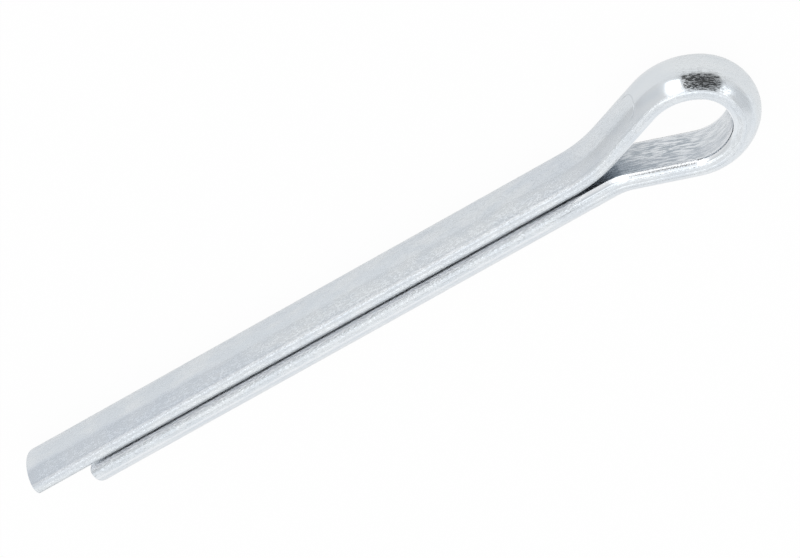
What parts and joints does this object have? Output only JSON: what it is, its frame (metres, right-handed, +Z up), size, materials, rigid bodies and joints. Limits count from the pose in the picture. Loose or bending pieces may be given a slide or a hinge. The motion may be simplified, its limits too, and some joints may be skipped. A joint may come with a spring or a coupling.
{
  "type": "cotter pin",
  "caption": "Split cotter pin bent from half-round steel wire, with a teardrop eye and two flat-sided legs, one longer so that they spread easily.",
  "frame": {"origin": "under the middle of the whole pin, on the surface that it lies on", "axes": "+X along the legs toward the eye, +Y across the two legs from the short one to the long one, +Z up across the wire's width"},
  "size_m": [0.0636, 0.0096, 0.0044],
  "materials": {
    "zinc_plated_wire": "drawn steel wire, bright zinc plated"
  },
  "bodies": {
    "root": {"cotter_pin": "zinc_plated_wire"}
  },
  "joints": []
}
